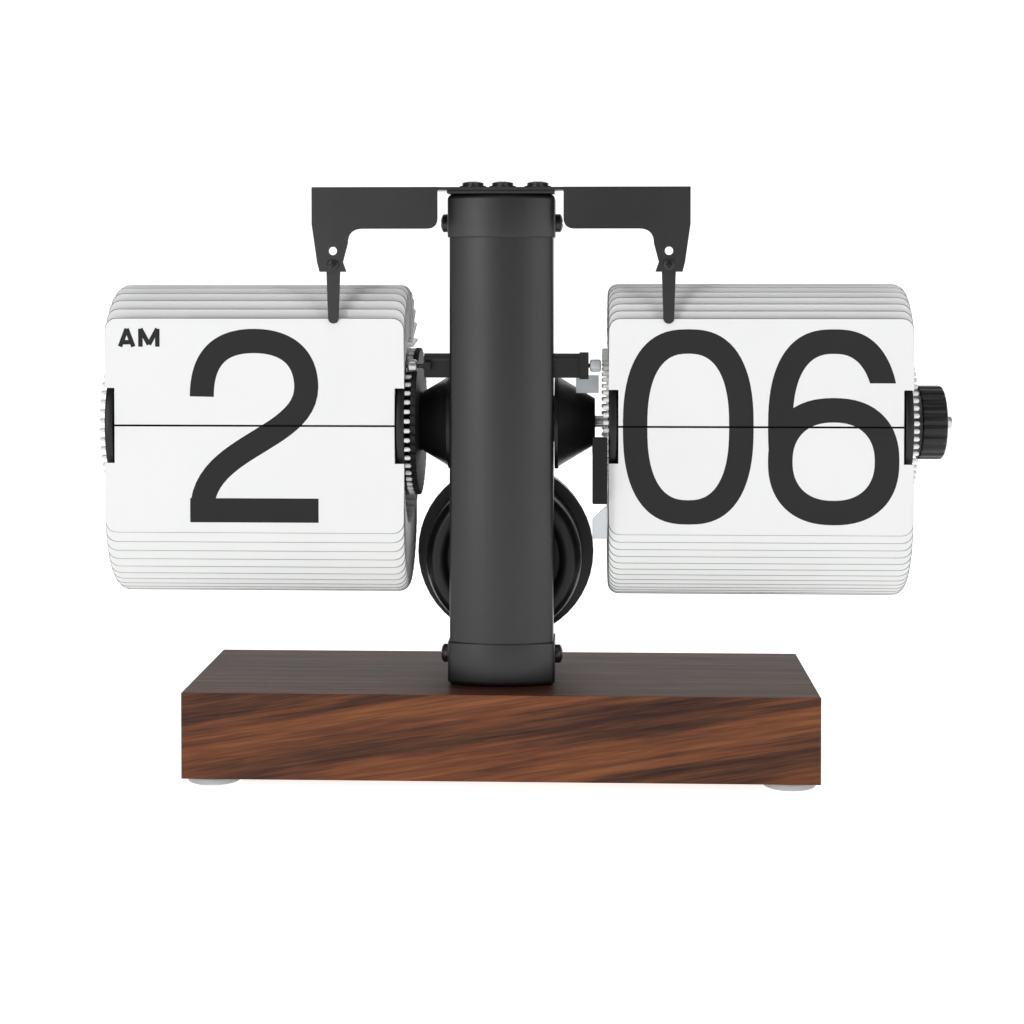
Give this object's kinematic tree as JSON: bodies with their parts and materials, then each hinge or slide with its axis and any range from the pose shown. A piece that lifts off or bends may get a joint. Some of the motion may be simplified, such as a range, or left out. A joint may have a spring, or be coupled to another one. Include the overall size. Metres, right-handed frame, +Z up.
{
  "type": "flip number clock",
  "caption": "Desk flip clock: hour and minute leaf drums on either side of a black column, with holding arms above, a round battery housing behind and a walnut block base.",
  "frame": {"origin": "bottom centre of the bounding box, on the surface that the feet stand on", "axes": "+X along the drums' axles towards the setting knob, +Y to the back, +Z up"},
  "size_m": [0.3514, 0.097, 0.2453],
  "materials": {
    "walnut": "oiled walnut, straight grain on top and figured on the front",
    "satin_black": "satin charcoal powder coat",
    "black_plastic": "moulded black plastic",
    "leaf_white": "white sheet with dark printed numerals and dark edges",
    "steel": "turned steel",
    "brass": "machined brass",
    "silicone": "translucent grey silicone",
    "clear_plastic": "pale translucent plastic",
    "cell_sleeve": "plain printed sleeve"
  },
  "bodies": {
    "stand": {"wood_base": "walnut", "foot_pad_front_left": "silicone", "foot_pad_front_right": "silicone", "foot_pad_rear_left": "silicone", "foot_pad_rear_right": "silicone", "base_bolt": "steel", "base_washer": "steel", "side_screw_top_left": "steel", "side_screw_top_right": "steel", "side_screw_bottom_left": "steel", "side_screw_bottom_right": "steel", "bracket_screw_1": "steel", "bracket_screw_2": "steel", "bracket_screw_3": "steel", "hour_finger_screw": "steel", "minute_finger_screw": "steel", "rear_bridge": "steel", "motor": "steel", "rocker_pin": "steel", "contact_spring": "steel", "column_shell": "satin_black", "column_top_cap": "satin_black", "column_bottom_cap": "satin_black", "arm_bracket": "satin_black", "pad_plate": "satin_black", "hour_finger": "satin_black", "minute_finger": "satin_black", "hour_bell": "black_plastic", "minute_bell": "black_plastic", "housing_front": "black_plastic", "housing_rear": "black_plastic", "minute_stop_block": "black_plastic", "hour_upper_pack": "leaf_white", "hour_lower_leaf": "leaf_white", "hour_lower_pack": "leaf_white", "minute_upper_pack": "leaf_white", "minute_lower_leaf": "leaf_white", "minute_lower_pack": "leaf_white", "release_lever": "clear_plastic", "guide_plate": "clear_plastic", "battery": "cell_sleeve"},
    "minute_drum": {"minute_axle": "steel", "minute_disc_inner": "black_plastic", "minute_disc_outer": "black_plastic", "minute_drum_core": "black_plastic", "minute_gear": "brass", "setting_knob": "black_plastic"},
    "hour_drum": {"hour_axle": "steel", "hour_disc_inner": "black_plastic", "hour_disc_outer": "black_plastic", "hour_drum_core": "black_plastic", "hour_step_wheel": "black_plastic"},
    "motor_rotor": {"motor_pinion": "brass"},
    "hour_falling_leaf": {"hour_upper_leaf": "leaf_white"},
    "minute_falling_leaf": {"minute_upper_leaf": "leaf_white"},
    "rocker": {"rocker_bar": "black_plastic", "hour_roller": "steel", "minute_roller": "clear_plastic"},
    "battery_door": {"battery_cover": "black_plastic"}
  },
  "joints": [
    {"name": "minute_spin", "type": "hinge", "parent": "stand", "child": "minute_drum", "pos_m": [-0.01265, -0.00355, 0.145], "axis": [1, 0, 0], "continuous": true},
    {"name": "hour_spin", "type": "hinge", "parent": "stand", "child": "hour_drum", "pos_m": [-0.01265, -0.00355, 0.145], "axis": [1, 0, 0], "continuous": true},
    {"name": "motor_spin", "type": "hinge", "parent": "stand", "child": "motor_rotor", "pos_m": [-0.01265, 0.00664, 0.13482], "axis": [1, 0, 0], "continuous": true},
    {"name": "hour_leaf_fall", "type": "hinge", "parent": "stand", "child": "hour_falling_leaf", "pos_m": [-0.01265, -0.03348, 0.14696], "axis": [1, 0, 0], "range_deg": [0, 165]},
    {"name": "minute_leaf_fall", "type": "hinge", "parent": "stand", "child": "minute_falling_leaf", "pos_m": [-0.01265, -0.03351, 0.14657], "axis": [1, 0, 0], "range_deg": [0, 165]},
    {"name": "rocker_tilt", "type": "hinge", "parent": "stand", "child": "rocker", "pos_m": [-0.01265, -0.02355, 0.1695], "axis": [0, 1, 0], "range_deg": [0, 3], "stiffness_Nm_per_rad": 0.02},
    {"name": "battery_door_swing", "type": "hinge", "parent": "stand", "child": "battery_door", "pos_m": [-0.01265, 0.04045, 0.0715], "axis": [1, 0, 0], "range_deg": [-100, 0]}
  ],
  "couplings": [
    {"joint": "hour_spin", "follows": "minute_spin", "ratio": 0.041667},
    {"joint": "motor_spin", "follows": "minute_spin", "ratio": -2}
  ]
}
